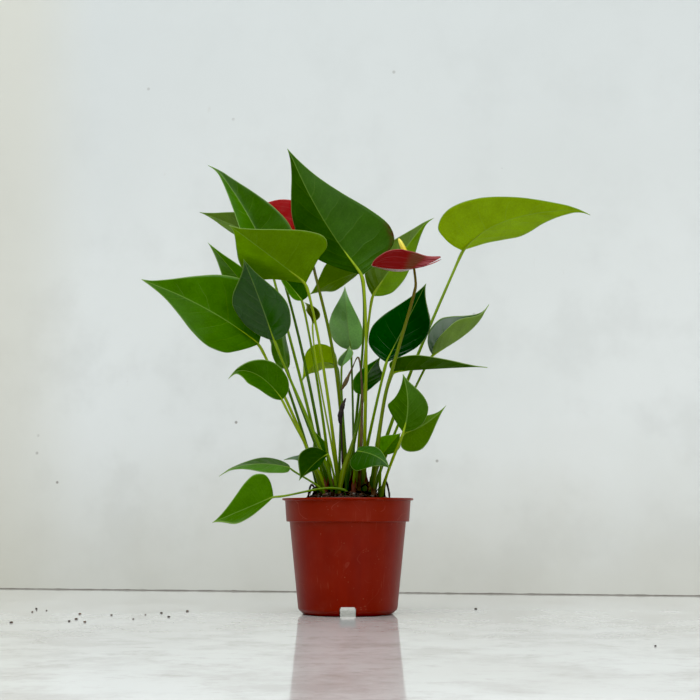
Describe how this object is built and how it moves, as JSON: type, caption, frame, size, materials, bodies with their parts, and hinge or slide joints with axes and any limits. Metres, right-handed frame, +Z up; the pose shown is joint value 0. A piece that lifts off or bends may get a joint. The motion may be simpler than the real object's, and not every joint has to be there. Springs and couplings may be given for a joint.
{
  "type": "potted anthurium",
  "caption": "Potted anthurium: a clump of glossy pointed leaves on slender stalks, with red spathes and yellow spikes, in a tapered round plastic nursery pot.",
  "frame": {"origin": "under the middle of the whole plant's bounding box, on the surface it stands on; the pot's axis stands 21.5 mm to -X and 11 mm to -Y of it", "axes": "+Z up; +X to the right and -Y towards the viewer when the tallest leaf stands left of the middle and the far leaf reaches right"},
  "size_m": [0.4212, 0.1724, 0.438],
  "materials": {
    "pot_plastic": "thin moulded brick-red plastic, satin",
    "potting_mix": "moist peat and bark crumbs",
    "leaf": "waxy leaf, glossy above and softer below",
    "spathe": "glossy lacquered red",
    "spadix": "matt yellow, finely bumped",
    "dry_sheath": "dry brown sheath",
    "root": "brown root skin"
  },
  "bodies": {
    "root": {"aerial_root_left": "root", "aerial_root_right": "root", "crown_back": "dry_sheath", "crown_middle": "dry_sheath", "crown_right": "dry_sheath", "flower_back": "spathe", "flower_front": "spathe", "leaf_back_middle": "leaf", "leaf_base_back_left": "leaf", "leaf_base_front": "leaf", "leaf_base_inner": "leaf", "leaf_base_left": "leaf", "leaf_base_right": "leaf", "leaf_behind_flower": "leaf", "leaf_behind_left": "leaf", "leaf_bright_front": "leaf", "leaf_dark_middle": "leaf", "leaf_dark_right": "leaf", "leaf_edge_on_left": "leaf", "leaf_far_left": "leaf", "leaf_far_right": "leaf", "leaf_flat_right": "leaf", "leaf_glossy_left": "leaf", "leaf_high_back_left": "leaf", "leaf_low_left": "leaf", "leaf_low_right": "leaf", "leaf_lower_left": "leaf", "leaf_over_rim": "leaf", "leaf_pale_middle": "leaf", "leaf_round_right": "leaf", "leaf_side_right": "leaf", "leaf_small_oval": "leaf", "leaf_tall_left": "leaf", "leaf_tallest": "leaf", "leaf_under_bright": "leaf", "leaf_under_tallest": "leaf", "leaf_young": "leaf", "old_flower": "dry_sheath", "pot": "pot_plastic", "soil": "potting_mix", "spadix_back": "spadix", "spadix_front": "spadix", "withered_leaf": "dry_sheath"}
  },
  "joints": []
}
